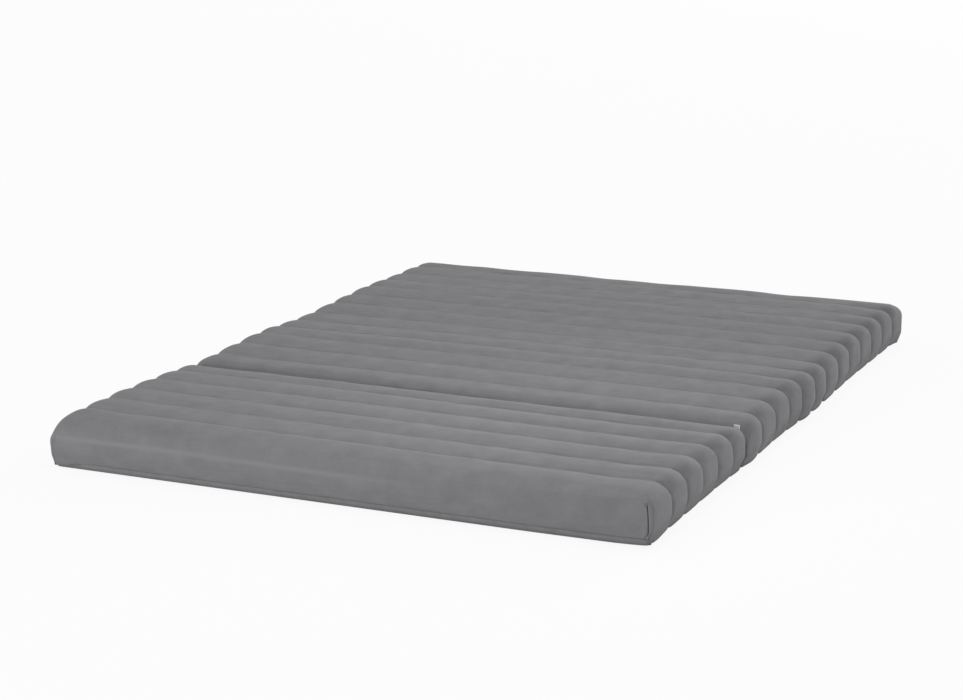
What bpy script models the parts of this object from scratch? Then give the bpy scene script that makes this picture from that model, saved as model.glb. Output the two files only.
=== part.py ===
# Folding foam mattress: two quilted sections joined by a sewn fold.
# Metres, +Z up. +X is the width, +Y runs from the short section to the long one.
# The origin is at the middle of the underside.
from math import cos, pi, sin, sqrt

import bmesh
import bpy
from mathutils import Vector

MM = 0.001

# Whole mattress
WIDTH = 1400 * MM
LENGTH = 1880 * MM
THICKNESS = 114 * MM
SHORT_LENGTH = 583 * MM
SHORT_RIBS = 6
LONG_RIBS = 13
FOLD_GAP = 4 * MM
CLEARANCE = 0.3 * MM

# Quilted cover: its ribs run across the width and down the long sides
TOP_VALLEY_DEPTH = 13 * MM
SIDE_VALLEY_DEPTH = 7 * MM
SHOULDER_PINCH = 3 * MM
SHOULDER_WIDTH = 52 * MM
SHOULDER_HEIGHT = 27 * MM
END_ROLL_LENGTH = 92 * MM
END_ROLL_HEIGHT = 32 * MM
CORNER_RADIUS = 8 * MM
FOLD_ROLL_LENGTH = 32 * MM
FOLD_ROLL_HEIGHT = 16 * MM
CREST_TUCK = 13.5 * MM
VALLEY_TUCK = 1 * MM
END_TUCK = 4 * MM
BELLY_DROP = 13 * MM
VALLEY_DROP = 4.5 * MM
WIDEST_SHARE = 0.32
CREST_FLAT_SHARE = 0.28
RIB_STATION_SHARES = (0.12, 0.36, 0.64, 0.88)
ROLL_STATION_SHARES = (0.08, 0.29, 0.62)

# Foam core, inside the cover, with its lower long edges cut back
TOP_WADDING = 17 * MM
SIDE_WADDING = 34 * MM
END_WADDING = 7 * MM
CORE_EDGE_RADIUS = 18 * MM
CORE_EDGE_STEPS = 3
CORE_CHAMFER = 26 * MM

# Base panel, and the binding that sews the cover to it
PANEL_THICKNESS = 1.5 * MM
PANEL_EDGE_RADIUS = 3 * MM
PANEL_EDGE_STEPS = 2
PANEL_INSET = 0.5 * MM
BINDING_BOTTOM = 6 * MM
BINDING_TOP = 15 * MM
BINDING_THICKNESS = 3 * MM
BINDING_EDGE_RADIUS = 1 * MM
BINDING_END_INSET = 3 * MM
BINDING_FOLD_INSET = 1 * MM
BINDING_CORNER_INSET = 20 * MM
BINDING_SIDE_INSET = 40 * MM
BINDING_CORNER_RADIUS = 12 * MM
BINDING_FOLD_RADIUS = 6 * MM
CORNER_STEPS = 4
UNDERSIDE_MARGIN = 1.5 * MM

# Sewn fold between the two covers
FOLD_AXIS_LIFT = 0.5 * MM
FOLD_SEAM_HEIGHT = 14 * MM
FOLD_SEAM_DROP = 29 * MM
FOLD_SEAM_INSET = 44 * MM

# Blank tab at the right end of the fold
TAB_LENGTH = 25 * MM
TAB_HEIGHT = 26 * MM
TAB_THICKNESS = 1 * MM
TAB_DROP = 14 * MM

# Colours (linear) and roughness
FABRIC = (0.195, 0.201, 0.208, 1)
BINDING = (0.180, 0.186, 0.193, 1)
PANEL = (0.165, 0.170, 0.177, 1)
FOAM = (0.720, 0.680, 0.540, 1)
WHITE = (0.760, 0.760, 0.750, 1)
CLOTH_ROUGHNESS = 0.9
FOAM_ROUGHNESS = 0.95

HALF_WIDTH = WIDTH / 2
FOLD_Y = SHORT_LENGTH - LENGTH / 2
RIM_HEIGHT = BINDING_TOP + CLEARANCE
WIDEST_HEIGHT = RIM_HEIGHT + WIDEST_SHARE * (THICKNESS - RIM_HEIGHT)


def clear_scene():
    for item in list(bpy.data.objects):
        bpy.data.objects.remove(item, do_unlink=True)


def new_collection(name):
    collection = bpy.data.collections.new(name)
    bpy.context.scene.collection.children.link(collection)
    return collection


def new_material(name, colour, roughness):
    material = bpy.data.materials.new(name)
    material.use_nodes = True
    shader = material.node_tree.nodes["Principled BSDF"]
    shader.inputs["Base Color"].default_value = colour
    shader.inputs["Roughness"].default_value = roughness
    shader.inputs["Metallic"].default_value = 0
    material.diffuse_color = colour
    return material


def add_object(name, data, collection, colour=None, roughness=CLOTH_ROUGHNESS):
    item = bpy.data.objects.new(name, data)
    collection.objects.link(item)
    if colour:
        item.data.materials.append(new_material(name, colour, roughness))
    return item


def mesh_from(bm, name):
    mesh = bpy.data.meshes.new(name)
    bm.to_mesh(mesh)
    bm.free()
    return mesh


def block(low, high):
    bm = bmesh.new()
    bmesh.ops.create_cube(bm, size=1)
    size = Vector(high) - Vector(low)
    bmesh.ops.scale(bm, vec=size, verts=bm.verts)
    bmesh.ops.translate(bm, vec=(Vector(high) + Vector(low)) / 2, verts=bm.verts)
    return bm


def cut_across(bm, axis, places):
    """Divides the faces at each place along one axis."""
    normal = Vector((0, 0, 0))
    normal[axis] = 1
    for place in places:
        geometry = bm.verts[:] + bm.edges[:] + bm.faces[:]
        bmesh.ops.bisect_plane(bm, geom=geometry, dist=CLEARANCE, plane_co=normal * place, plane_no=normal)


def clamp(value, low=0, high=1):
    return min(max(value, low), high)


def arc_drop(distance, length, height):
    """How far an elliptical edge has fallen at a distance from where it ends."""
    reach = clamp(1 - distance / length)
    return height * (1 - sqrt(1 - reach**2))


class Section:
    """One part of the mattress, from its outer end to the fold."""

    def __init__(self, name, ribs, outer_y):
        self.name = name
        self.ribs = ribs
        self.outer = outer_y
        self.inward = 1 if FOLD_Y > outer_y else -1
        self.length = abs(FOLD_Y - outer_y) - FOLD_GAP / 2
        self.pitch = abs(FOLD_Y - outer_y) / ribs

    def at(self, distance):
        return self.outer + self.inward * distance

    def box(self, outer_inset, fold_inset):
        """Its two Y limits, low first, drawn in from the outer end and from the fold."""
        return sorted((self.at(outer_inset), self.at(self.length - fold_inset)))

    def rib_height(self, distance):
        """0 in a valley, 1 on a crest. The first half rib runs level to the outer end."""
        ribs_in = distance / self.pitch
        if ribs_in < 0.5:
            return 1
        off_crest = abs(2 * (ribs_in % 1) - 1)
        return min(1, sqrt((1 - off_crest**2) / (1 - CREST_FLAT_SHARE**2)))

    def stations(self):
        """Distances from the outer end at which the cover is divided."""
        places = [share * END_ROLL_LENGTH for share in ROLL_STATION_SHARES]
        places += [self.length - share * FOLD_ROLL_LENGTH for share in ROLL_STATION_SHARES]
        places.append(CORNER_RADIUS)
        places.append(RIB_STATION_SHARES[-1] * self.pitch)
        for rib in range(1, self.ribs):
            shares = (0,) + RIB_STATION_SHARES
            if rib == self.ribs - 1:
                shares = shares[:-1]
            places += [(rib + share) * self.pitch for share in shares]
        return places

    def rim_half(self, distance):
        """Half the width of the binding's outline, which draws in past the outer corners."""
        drawn_in = clamp((distance - BINDING_CORNER_RADIUS) / (self.pitch - BINDING_CORNER_RADIUS))
        inset = BINDING_CORNER_INSET + (BINDING_SIDE_INSET - BINDING_CORNER_INSET) * drawn_in
        return HALF_WIDTH - inset


def on_cover(section, point):
    """Moves a point of the plain block to its place on the quilted cover."""
    distance = abs(point.y - section.outer)
    to_fold = section.length - distance
    rib = section.rib_height(distance)
    height = THICKNESS - TOP_VALLEY_DEPTH * (1 - rib)
    height -= arc_drop(distance, END_ROLL_LENGTH, END_ROLL_HEIGHT)
    height -= arc_drop(to_fold, FOLD_ROLL_LENGTH, FOLD_ROLL_HEIGHT)
    half = HALF_WIDTH - SIDE_VALLEY_DEPTH * (1 - rib)
    half -= arc_drop(distance, CORNER_RADIUS, CORNER_RADIUS)
    half -= arc_drop(to_fold, CORNER_RADIUS, CORNER_RADIUS)

    # the shoulder: both of its sides lean towards its middle
    side = 1 if point.x > 0 else -1
    lean_x = clamp(1 - (HALF_WIDTH - abs(point.x)) / SHOULDER_WIDTH)
    lean_z = clamp(1 - (THICKNESS - point.z) / SHOULDER_HEIGHT)
    lean = max(sqrt(lean_x**2 + lean_z**2), CLEARANCE)
    out_x = max(lean_x, lean_z) * lean_x / lean
    out_z = max(lean_x, lean_z) * lean_z / lean
    pinch = SHOULDER_PINCH * (1 - rib) * 2 * out_x * out_z
    x = abs(point.x) * (half - SHOULDER_WIDTH) / (HALF_WIDTH - SHOULDER_WIDTH)
    if lean_x > 0:
        x = half - SHOULDER_WIDTH + (SHOULDER_WIDTH - pinch) * out_x
    share = (point.z - RIM_HEIGHT) / (THICKNESS - SHOULDER_HEIGHT - RIM_HEIGHT)
    z = RIM_HEIGHT + share * (height - SHOULDER_HEIGHT - RIM_HEIGHT)
    if lean_z > 0:
        z = height - SHOULDER_HEIGHT + (SHOULDER_HEIGHT - pinch) * out_z

    # the sides and the outer end draw in towards the binding
    low = clamp(1 - (point.z - RIM_HEIGHT) / (WIDEST_HEIGHT - RIM_HEIGHT)) ** 2
    x -= low * lean_x * (VALLEY_TUCK + (CREST_TUCK - VALLEY_TUCK) * rib)
    end = clamp(1 - distance / END_ROLL_LENGTH)
    y = point.y + section.inward * END_TUCK * low * end

    # each rib hangs lower than the rim, outside the binding
    if point.z < RIM_HEIGHT + CLEARANCE:
        if abs(point.x) > HALF_WIDTH - CLEARANCE:
            from_corner = clamp(distance / CORNER_RADIUS)
            z -= from_corner * (VALLEY_DROP + (BELLY_DROP - VALLEY_DROP) * rib)
        elif lean_x > 0:
            edge = half - VALLEY_TUCK - (CREST_TUCK - VALLEY_TUCK) * rib
            x = min(section.rim_half(distance), edge) + UNDERSIDE_MARGIN
            x = min(x, edge - UNDERSIDE_MARGIN)
    return Vector((side * x, y, z))


def core_block(section, grow):
    """The foam core's form, grown by a clearance: a profile across, drawn out along Y."""
    low_y, high_y = section.box(END_WADDING - grow, END_WADDING - grow)
    half = HALF_WIDTH - SIDE_WADDING + grow
    bottom = PANEL_THICKNESS + CLEARANCE - grow
    top = THICKNESS - TOP_WADDING + grow
    right = [(half - CORE_CHAMFER, bottom), (half, bottom + CORE_CHAMFER)]
    for step in range(CORE_EDGE_STEPS + 1):
        angle = pi / 2 * step / CORE_EDGE_STEPS
        across = half - CORE_EDGE_RADIUS * (1 - cos(angle))
        right.append((across, top - CORE_EDGE_RADIUS * (1 - sin(angle))))
    profile = right + [(-x, z) for x, z in reversed(right)]
    bm = bmesh.new()
    face = bm.faces.new([bm.verts.new((x, low_y, z)) for x, z in profile])
    drawn = bmesh.ops.extrude_face_region(bm, geom=[face])["geom"]
    far = [item for item in drawn if isinstance(item, bmesh.types.BMVert)]
    bmesh.ops.translate(bm, vec=(0, high_y - low_y, 0), verts=far)
    bmesh.ops.recalc_face_normals(bm, faces=bm.faces)
    upper = [edge for edge in bm.edges if edge.verts[0].co.y == edge.verts[1].co.y
             and min(vert.co.z for vert in edge.verts) > top / 2]
    bmesh.ops.bevel(bm, geom=upper, offset=CORE_EDGE_RADIUS, segments=CORE_EDGE_STEPS,
                    profile=0.5, affect="EDGES")
    return bm


def make_foam_core(section, parts):
    name = section.name + "_foam_core"
    mesh = mesh_from(core_block(section, 0), name)
    return add_object(name, mesh, parts, FOAM, FOAM_ROUGHNESS)


def make_cavity(section, cutters):
    name = section.name + "_cavity"
    cavity = add_object(name, mesh_from(core_block(section, CLEARANCE), name), cutters)
    cavity.hide_render = True
    cavity.display_type = "WIRE"
    return cavity


def make_quilted_cover(section, parts, cutters):
    low_y, high_y = section.box(0, 0)
    bm = block((-HALF_WIDTH, low_y, RIM_HEIGHT), (HALF_WIDTH, high_y, THICKNESS))
    shoulder = HALF_WIDTH - SHOULDER_WIDTH
    middle = HALF_WIDTH - SHOULDER_WIDTH / 2
    cut_across(bm, 0, (-middle, -shoulder, shoulder, middle))
    cut_across(bm, 1, [section.at(place) for place in section.stations()])
    top = THICKNESS - SHOULDER_HEIGHT
    lower = (RIM_HEIGHT + WIDEST_HEIGHT) / 2
    cut_across(bm, 2, (lower, WIDEST_HEIGHT, top, top + SHOULDER_HEIGHT / 2))
    for vert in bm.verts:
        vert.co = on_cover(section, vert.co)
    bmesh.ops.recalc_face_normals(bm, faces=bm.faces)
    name = section.name + "_quilted_cover"
    cover = add_object(name, mesh_from(bm, name), parts, FABRIC)
    hollow = cover.modifiers.new("hollow", "BOOLEAN")
    hollow.operation = "DIFFERENCE"
    hollow.solver = "EXACT"
    hollow.object = make_cavity(section, cutters)
    return cover


def rim_outline(section, outset):
    """Round-cornered outline of the binding, as (x, y), grown outwards by a length."""
    outer_corner = BINDING_END_INSET - outset, BINDING_CORNER_RADIUS + outset, 1
    fold_corner = section.length - BINDING_FOLD_INSET + outset, BINDING_FOLD_RADIUS + outset, -1
    points = []
    for distance, radius, way in (outer_corner, fold_corner):
        for side in (-way, way):
            half = section.rim_half(distance) + outset
            turn = []
            for step in range(CORNER_STEPS + 1):
                angle = pi / 2 * step / CORNER_STEPS
                x = side * (half - radius + radius * cos(angle))
                turn.append((x, section.at(distance + way * radius * (1 - sin(angle)))))
            drawn_in = (side * (section.rim_half(section.pitch) + outset), section.at(section.pitch))
            if way > 0:
                turn.insert(0, drawn_in)
            points += turn if side == -way else turn[::-1]
    return points


def outline_wall(section, outset, bottom, top):
    """A prism on the binding's outline, with its faces pointing out."""
    bm = bmesh.new()
    outline = rim_outline(section, outset)
    floor = bm.faces.new([bm.verts.new((x, y, bottom)) for x, y in outline])
    raised = bmesh.ops.extrude_face_region(bm, geom=[floor])["geom"]
    lid_verts = [item for item in raised if isinstance(item, bmesh.types.BMVert)]
    bmesh.ops.translate(bm, vec=(0, 0, top - bottom), verts=lid_verts)
    bmesh.ops.recalc_face_normals(bm, faces=bm.faces)
    return bm


def delete_faces(bm, faces):
    bmesh.ops.delete(bm, geom=faces, context="FACES")


def make_edge_binding(section, parts):
    bm = outline_wall(section, 0, BINDING_BOTTOM, BINDING_TOP)
    delete_faces(bm, [face for face in bm.faces if abs(face.normal.z) > 0.5])
    name = section.name + "_edge_binding"
    binding = add_object(name, mesh_from(bm, name), parts, BINDING)
    wall = binding.modifiers.new("wall", "SOLIDIFY")
    wall.thickness = BINDING_THICKNESS
    wall.offset = -1
    rounding = binding.modifiers.new("rounding", "BEVEL")
    rounding.width = BINDING_EDGE_RADIUS
    rounding.segments = 1
    rounding.limit_method = "ANGLE"
    return binding


def make_base_panel(section, parts):
    top = BINDING_BOTTOM - CLEARANCE
    bm = outline_wall(section, -PANEL_INSET, 0, top)
    delete_faces(bm, [face for face in bm.faces if face.normal.z > 0.5])
    floor_edges = [edge for edge in bm.edges if max(vert.co.z for vert in edge.verts) < top / 2]
    bmesh.ops.bevel(bm, geom=floor_edges, offset=PANEL_EDGE_RADIUS, segments=PANEL_EDGE_STEPS,
                    profile=0.5, affect="EDGES")
    name = section.name + "_base_panel"
    panel = add_object(name, mesh_from(bm, name), parts, PANEL)
    wall = panel.modifiers.new("wall", "SOLIDIFY")
    wall.thickness = PANEL_THICKNESS
    wall.offset = -1
    return panel


def make_fold_seam(parts):
    half = HALF_WIDTH - FOLD_SEAM_INSET
    side = FOLD_GAP / 2 - CLEARANCE
    top = THICKNESS - FOLD_SEAM_DROP
    bm = block((-half, FOLD_Y - side, top - FOLD_SEAM_HEIGHT), (half, FOLD_Y + side, top))
    return add_object("fold_seam", mesh_from(bm, "fold_seam"), parts, BINDING)


def make_blank_tab(parts):
    start = HALF_WIDTH - FOLD_SEAM_INSET + CLEARANCE
    side = TAB_THICKNESS / 2
    top = THICKNESS - TAB_DROP
    low = (start, FOLD_Y - side, top - TAB_HEIGHT)
    bm = block(low, (start + TAB_LENGTH, FOLD_Y + side, top))
    return add_object("blank_tab", mesh_from(bm, "blank_tab"), parts, WHITE)


def hang_on_fold(items, parts):
    """Parents the moving section to an empty on the fold's axis."""
    axis = add_object("fold_axis", None, parts)
    axis.location = (0, FOLD_Y, THICKNESS + FOLD_AXIS_LIFT)
    bpy.context.view_layer.update()
    for item in items:
        item.parent = axis
        item.matrix_parent_inverse = axis.matrix_world.inverted()


def make_section(section, parts, cutters):
    core = make_foam_core(section, parts)
    cover = make_quilted_cover(section, parts, cutters)
    binding = make_edge_binding(section, parts)
    panel = make_base_panel(section, parts)
    return [core, cover, binding, panel]


def main():
    clear_scene()
    parts = new_collection("folding_mattress")
    cutters = new_collection("cutters")
    short = Section("short", SHORT_RIBS, -LENGTH / 2)
    long = Section("long", LONG_RIBS, LENGTH / 2)
    make_section(long, parts, cutters)
    moving = make_section(short, parts, cutters)
    make_fold_seam(parts)
    make_blank_tab(parts)
    hang_on_fold(moving, parts)


main()
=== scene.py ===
from math import cos, pi, sin

import bmesh
import bpy
import numpy as np
from mathutils import Matrix, Vector, noise


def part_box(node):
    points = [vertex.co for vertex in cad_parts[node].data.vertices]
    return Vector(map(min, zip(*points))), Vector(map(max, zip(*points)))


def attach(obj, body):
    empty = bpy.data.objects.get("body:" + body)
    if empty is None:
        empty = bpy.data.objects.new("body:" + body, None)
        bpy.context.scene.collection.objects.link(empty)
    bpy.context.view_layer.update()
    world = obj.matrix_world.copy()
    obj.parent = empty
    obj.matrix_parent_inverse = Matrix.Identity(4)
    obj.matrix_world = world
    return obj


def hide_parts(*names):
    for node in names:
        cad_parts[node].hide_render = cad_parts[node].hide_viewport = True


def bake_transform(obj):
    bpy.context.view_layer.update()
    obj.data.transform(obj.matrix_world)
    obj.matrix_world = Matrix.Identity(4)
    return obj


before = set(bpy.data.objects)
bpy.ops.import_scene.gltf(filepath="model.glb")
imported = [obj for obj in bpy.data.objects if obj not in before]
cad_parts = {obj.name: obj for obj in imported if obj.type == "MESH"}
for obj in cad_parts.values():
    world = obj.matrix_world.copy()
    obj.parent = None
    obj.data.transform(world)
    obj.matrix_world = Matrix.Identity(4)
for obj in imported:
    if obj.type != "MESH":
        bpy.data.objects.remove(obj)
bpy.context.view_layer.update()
mm = 0.001

# the mattress lies along Y: the short section ends at low Y, the long one at high Y
mattress = {
    "halfWidth": 700 * mm, "thickness": 114 * mm,
    "foldY": -357 * mm, "foldGap": 4 * mm,
    "rim": 15.3 * mm,               # where the cover meets the binding
}
# in millimetres: seams are distances from the outer end; valleys, rises and bulges are per rib, from there to
# the fold; endRoll and valleyShare are pairs of a place across and a value
shortSection = {
    "name": "short", "body": "short_section", "ribs": 6, "outer": -940 * mm, "inward": 1, "seed": 5,
    "seams": (121, 215, 311, 408, 503),
    "endRollLength": 92 * mm,
    "endRoll": ((-700, 39), (-570, 37), (-100, 37), (100, 36), (300, 32), (500, 26), (630, 19), (700, 12)),
    "topValley": (10, 11, 11, 11, 11, 9), "valleyShare": ((-400, 0.5), (-150, 0.58), (200, 0.8), (550, 1)),
    "rise": (-2.5, -2.5, -0.5, -1.5, -3, -5.5), "leftRise": (0, 1, 1, 0, 0, -1),
    "bulge": (2, 0, -1, -2, -2, 0), "leftBulge": (-2.5, 0, 0, 0, 0, 0),
}
longSection = {
    "name": "long", "body": "long_section", "ribs": 13, "outer": 940 * mm, "inward": -1, "seed": 23,
    "seams": (86, 189, 286, 385, 488, 586, 697, 795, 890, 979, 1080, 1187),
    "endRollLength": 60 * mm, "endRoll": ((-700, 20), (700, 20)),
    "topValley": (2, 2, 2, 2.5, 2.5, 3, 3, 3.5, 3.5, 4, 5, 6, 6.5), "valleyShare": ((-700, 1), (700, 1)),
    "rise": (-3.8, -1, -0.5, 1, 0.5, -2, -3.2, -4, -0.5, 1.5, -2.5, -3.5, -5.5),
    "leftRise": (0, 0, -1, 0, 1, 0, -2, -4, -5, -2, 1, -2, -4),
    "bulge": (0, 0, 0, -1, -1, 0, 2, 7, 7, 1, -1, 0, 6), "leftBulge": (0,) * 13,
}
for section in (shortSection, longSection):
    span = abs(mattress["foldY"] - section["outer"])
    section["length"] = span - mattress["foldGap"] / 2
    section["pitch"] = span / section["ribs"]
    section["seams"] = np.array([0, *section["seams"], span / mm]) * mm


def ribPlace(section, distance):
    # how many ribs in from the outer end
    return np.interp(distance, section["seams"], np.arange(section["ribs"] + 1))


def toY(section, distance):
    return section["outer"] + section["inward"] * distance


def readTable(table, x, unit=mm):
    # a value that changes along x, from pairs of x in millimetres and the value
    return np.interp(x, [a * mm for a, b in table], [b * unit for a, b in table])


# the camera stands in front and to the right, a little above the mattress
viewpoint = {
    "place": (2.2058, -5.0321, 1.4673),
    "yaw": 0.4288, "pitch": 0.2406, "roll": -0.0029,        # radians
    "focalPixels": 2351.2,
    "picture": (963, 700),
    "sensor": 36,
    "farthest": 60,
}


def addCamera(settings):
    yaw, pitch, roll = settings["yaw"], settings["pitch"], settings["roll"]
    ahead = Vector((-sin(yaw) * cos(pitch), cos(yaw) * cos(pitch), -sin(pitch)))
    level = Vector((cos(yaw), sin(yaw), 0))
    upright = level.cross(ahead)
    right = level * cos(roll) + upright * sin(roll)
    up = upright * cos(roll) - level * sin(roll)
    data = bpy.data.cameras.new("camera")
    data.sensor_width = settings["sensor"]
    data.lens = settings["focalPixels"] * settings["sensor"] / settings["picture"][0]
    data.clip_end = settings["farthest"]
    camera = bpy.data.objects.new("camera", data)
    turn = Matrix((right, up, -ahead)).transposed().to_4x4()
    camera.matrix_world = Matrix.Translation(settings["place"]) @ turn
    bpy.context.scene.collection.objects.link(camera)
    bpy.context.scene.camera = camera


# a low key from behind, a weak fill in front, and a narrow lamp over the short section
lamps = {
    "backKey": {"place": (5.0, 20.0, 3.9), "aim": (0, 0, 0), "size": 9.0, "power": 1850, "spread": pi},
    "frontFill": {"place": (-1.9, -4.9, 0.5), "aim": (0, 0, 0), "size": 1.0, "power": 76, "spread": pi},
    "shortOverhead": {"place": (0.4, -0.55, 1.35), "aim": (0.25, -0.68, 0), "size": 0.6, "power": 1.22,
                      "spread": 1.75},
}


def addLamp(name, settings):
    data = bpy.data.lights.new(name, "AREA")
    data.shape = "DISK"
    data.size = settings["size"]
    data.energy = settings["power"]
    data.spread = settings["spread"]
    lamp = bpy.data.objects.new(name, data)
    lamp.visible_camera = False
    lamp.location = settings["place"]
    aim = Vector(settings["aim"]) - lamp.location
    lamp.rotation_euler = aim.to_track_quat("-Z", "Y").to_euler()
    bpy.context.scene.collection.objects.link(lamp)


def linear(code):
    values = [int(code[i:i + 2], 16) / 255 for i in (1, 3, 5)]
    return tuple(v / 12.92 if v <= 0.04045 else ((v + 0.055) / 1.055) ** 2.4 for v in values) + (1,)


def addNode(tree, kind, settings=None, links=None):
    # a link comes from a socket, or from a node's first output
    node = tree.nodes.new("ShaderNode" + kind)
    for key, value in (settings or {}).items():
        if isinstance(key, str) and hasattr(node, key):
            setattr(node, key, value)
        else:
            node.inputs[key].default_value = value
    for key, source in (links or {}).items():
        tree.links.new(getattr(source, "outputs", [source])[0], node.inputs[key])
    return node


def newMaterial(name, settings):
    material = bpy.data.materials.new(name)
    material.use_nodes = True
    tree = material.node_tree
    shader = next(node for node in tree.nodes if node.type == "BSDF_PRINCIPLED")
    for key, value in settings.items():
        shader.inputs[key].default_value = value
    return material, tree, shader


def dress(tree, shader, colour, relief):
    tree.links.new(colour, shader.inputs["Base Color"])
    tree.links.new(relief.outputs[0], shader.inputs["Normal"])


# Woven polyester cover cloth: a close plain weave, matt, with a soft fuzz that lifts the grazing light.
# The real threads are about 0.5 mm apart; they are drawn 1.5 mm apart so that the weave shows.
coverCloth = {
    # the fourth tone is a painted highlight along the end faces' drag line
    "dark": "#7a7a7c", "pale": "#838385", "slubTone": "#8b8b8d", "rubbed": "#868688",
    "threadSpacing": 1.5, "mottle": 55, "slubLength": 34, "slubWidth": 1.6,   # millimetres
    "weaveHeight": 0.12 * mm, "dragHeight": 1.6 * mm, "dragLength": 190, "dragWidth": 9,
    "shader": {"Roughness": 0.92, "Sheen Weight": 0.03, "Sheen Roughness": 0.5, "Specular IOR Level": 0.1},
}
# Narrow woven tape: the same yarn in a tighter rib, so its threads stand closer and higher.
tapeCloth = {
    "dark": "#7b7b7d", "pale": "#858587", "slubTone": "#8d8d8f",
    "threadSpacing": 1.2, "mottle": 30, "slubLength": 12, "slubWidth": 1.2,
    "weaveHeight": 0.14 * mm, "dragHeight": 0,
    "shader": {"Roughness": 0.9, "Sheen Weight": 0.03, "Sheen Roughness": 0.5, "Specular IOR Level": 0.12},
}
# Plain polyester lining for the underside: darker, with a trace of lustre.
baseCloth = {
    "dark": "#6e6e70", "pale": "#79797b", "slubTone": "#818183",
    "threadSpacing": 1.6, "mottle": 70, "slubLength": 40, "slubWidth": 1.8,
    "weaveHeight": 0.12 * mm, "dragHeight": 0,
    "shader": {"Roughness": 0.9, "Sheen Weight": 0.08, "Sheen Roughness": 0.5, "Specular IOR Level": 0.18},
}


def wovenCloth(name, s):
    material, tree, shader = newMaterial(name, s["shader"])
    flat = addNode(tree, "UVMap", {"uv_map": "clothMap"})      # metres along the cloth
    inMm = addNode(tree, "VectorMath", {"operation": "SCALE", "Scale": 1000}, {0: flat})
    split = addNode(tree, "SeparateXYZ", None, {0: inMm})
    threads = []
    for axis in ("X", "Y"):
        turns = addNode(tree, "Math", {"operation": "MULTIPLY", 1: pi / s["threadSpacing"]}, {0: split.outputs[axis]})
        threads.append(addNode(tree, "Math", {"operation": "SINE"}, {0: turns}))
    crossed = addNode(tree, "Math", {"operation": "MULTIPLY"}, {0: threads[0], 1: threads[1]})
    weave = addNode(tree, "Math", {"operation": "ABSOLUTE"}, {0: crossed})

    # loose fibres, faint clouds from the dyeing, and thicker yarns both ways
    fuzz = addNode(tree, "TexNoise", {"Scale": 0.9, "Detail": 3.0}, {"Vector": inMm})
    mottle = addNode(tree, "TexNoise", {"Scale": 1 / s["mottle"], "Detail": 4.0, "Roughness": 0.6}, {"Vector": inMm})
    slubs = []
    for long, wide in ((s["slubLength"], s["slubWidth"]), (s["slubWidth"], s["slubLength"])):
        stretch = addNode(tree, "Mapping", {"Scale": (1 / long, 1 / wide, 1)}, {"Vector": inMm})
        streak = addNode(tree, "TexNoise", {"Scale": 1.0, "Detail": 1.0}, {"Vector": stretch})
        slubs.append(addNode(tree, "MapRange", {"From Min": 0.56, "From Max": 0.78}, {0: streak}))
    slub = addNode(tree, "Math", {"operation": "MAXIMUM"}, {0: slubs[0], 1: slubs[1]})

    tone = addNode(tree, "MapRange", {"From Min": 0.32, "From Max": 0.68}, {0: mottle})
    ground = addNode(tree, "Mix", {"data_type": "RGBA", 6: linear(s["dark"]), 7: linear(s["pale"])}, {0: tone})
    slubShare = addNode(tree, "Math", {"operation": "MULTIPLY", 1: 0.3}, {0: slub})
    streaked = addNode(tree, "Mix", {"data_type": "RGBA", 7: linear(s["slubTone"])},
                       {0: slubShare, 6: ground.outputs[2]})
    # painted shade: the cloth's colour is darkened between the threads and lifted a little on them
    threadGapShade = addNode(tree, "MapRange", {"To Min": 0.93, "To Max": 1.04}, {0: weave})     # darker between the threads
    shaded = addNode(tree, "VectorMath", {"operation": "SCALE"}, {0: streaked.outputs[2], "Scale": threadGapShade})
    surface = shaded.outputs[0]

    fuzzy = addNode(tree, "Math", {"operation": "MULTIPLY_ADD", 1: 0.5}, {0: fuzz, 2: weave})
    raised = addNode(tree, "Math", {"operation": "MULTIPLY_ADD", 1: 0.6}, {0: slub, 2: fuzzy})
    relief = addNode(tree, "Bump", {"Strength": 0.7, "Distance": s["weaveHeight"]}, {"Height": raised})
    if s["dragHeight"]:
        # painted highlight: paler along the drag line of an end face, where the crease catches the light
        rubbed = addNode(tree, "Attribute", {"attribute_name": "rubbedLine"})
        surface = addNode(tree, "Mix", {"data_type": "RGBA", 7: linear(s["rubbed"])},
                          {0: rubbed.outputs["Fac"], 6: surface}).outputs[2]
        # fine drag lines run along the ribs, strongest beside the seams
        near = addNode(tree, "Attribute", {"attribute_name": "seamCloseness"})
        stretch = addNode(tree, "Mapping", {"Scale": (1 / s["dragLength"], 1 / s["dragWidth"], 1)}, {"Vector": inMm})
        lines = addNode(tree, "TexNoise", {"Scale": 1.0, "Detail": 2.0}, {"Vector": stretch})
        share = addNode(tree, "MapRange", {"To Min": 0.35, "To Max": 1.0}, {0: near.outputs["Fac"]})
        drag = addNode(tree, "Math", {"operation": "MULTIPLY"}, {0: lines, 1: share})
        relief = addNode(tree, "Bump", {"Strength": 1.0, "Distance": s["dragHeight"]},
                         {"Height": drag, "Normal": relief})
    dress(tree, shader, surface, relief)
    return material


# Twisted polyester sewing thread: a slight lustre along each stitch.
threadYarn = {
    "dark": "#6a6a6c", "pale": "#808082", "bands": "DIAGONAL", "spacing": 0.8, "waver": 1.2, "relief": 0.4,
    "shader": {"Roughness": 0.62, "Sheen Weight": 0.1, "Specular IOR Level": 0.4},
}
# White satin ribbon: long floats along one way, so it has a soft gloss.
ribbonSatin = {
    "dark": "#dcdcda", "pale": "#f3f3f1", "bands": "X", "spacing": 0.9, "waver": 0.8, "relief": 0.3,
    "shader": {"Roughness": 0.42, "Sheen Weight": 0.2, "Specular IOR Level": 0.5},
}


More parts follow.
